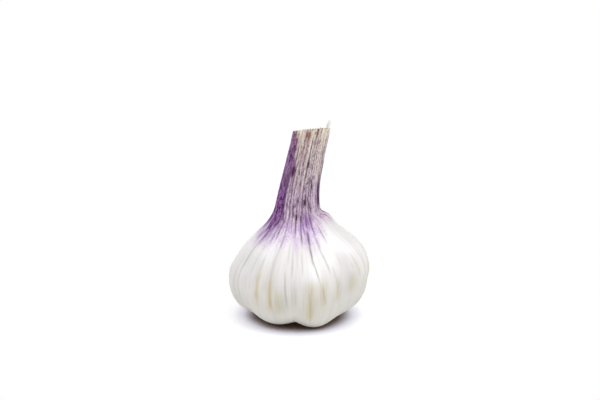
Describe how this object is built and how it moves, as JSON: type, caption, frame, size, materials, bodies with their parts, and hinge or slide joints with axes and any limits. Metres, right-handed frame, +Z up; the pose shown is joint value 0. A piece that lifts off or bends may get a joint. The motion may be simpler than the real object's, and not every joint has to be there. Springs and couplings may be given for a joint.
{
  "type": "garlic bulb",
  "caption": "Whole garlic bulb of rounded cloves under white papery skin, with a dried leaning neck cut off at the top and a trimmed root plate underneath.",
  "frame": {"origin": "middle of the bulb's own box, at the surface that it stands on", "axes": "+Z up along the bulb and its neck; +X to the right of someone who faces the bulb, the side that the neck leans to; +Y towards the back"},
  "size_m": [0.0608, 0.06, 0.0866],
  "materials": {
    "skin": "dry papery skin with a slight sheen, purple on the neck",
    "root_plate": "dry cork-like plate with trimmed roots, matt"
  },
  "bodies": {
    "root": {"bulb": "skin", "root_plate": "root_plate"}
  },
  "joints": []
}
